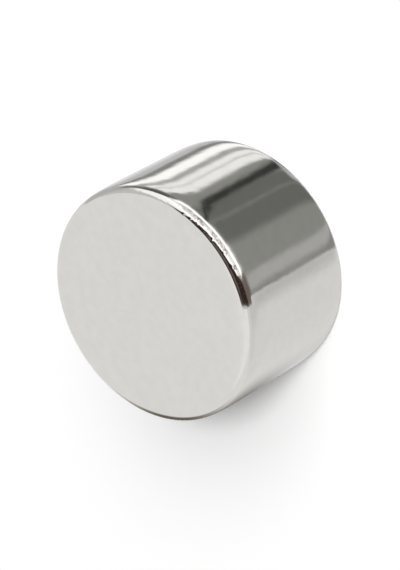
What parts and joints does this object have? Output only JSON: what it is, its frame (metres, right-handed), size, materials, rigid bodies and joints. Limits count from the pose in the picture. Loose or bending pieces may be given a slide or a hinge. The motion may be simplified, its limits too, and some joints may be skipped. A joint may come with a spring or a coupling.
{
  "type": "disc magnet",
  "caption": "Small solid disc magnet, nickel plated, with flat faces, a straight round wall and softly rounded edges.",
  "frame": {"origin": "centre of the lower flat face, on which the magnet stands", "axes": "+Z along the axis, from the lower flat face to the upper one; X and Y lie across the disc"},
  "size_m": [0.008, 0.008, 0.005],
  "materials": {
    "nickel_plate": "bright nickel plate, polished by tumbling"
  },
  "bodies": {
    "root": {"magnet": "nickel_plate"}
  },
  "joints": []
}
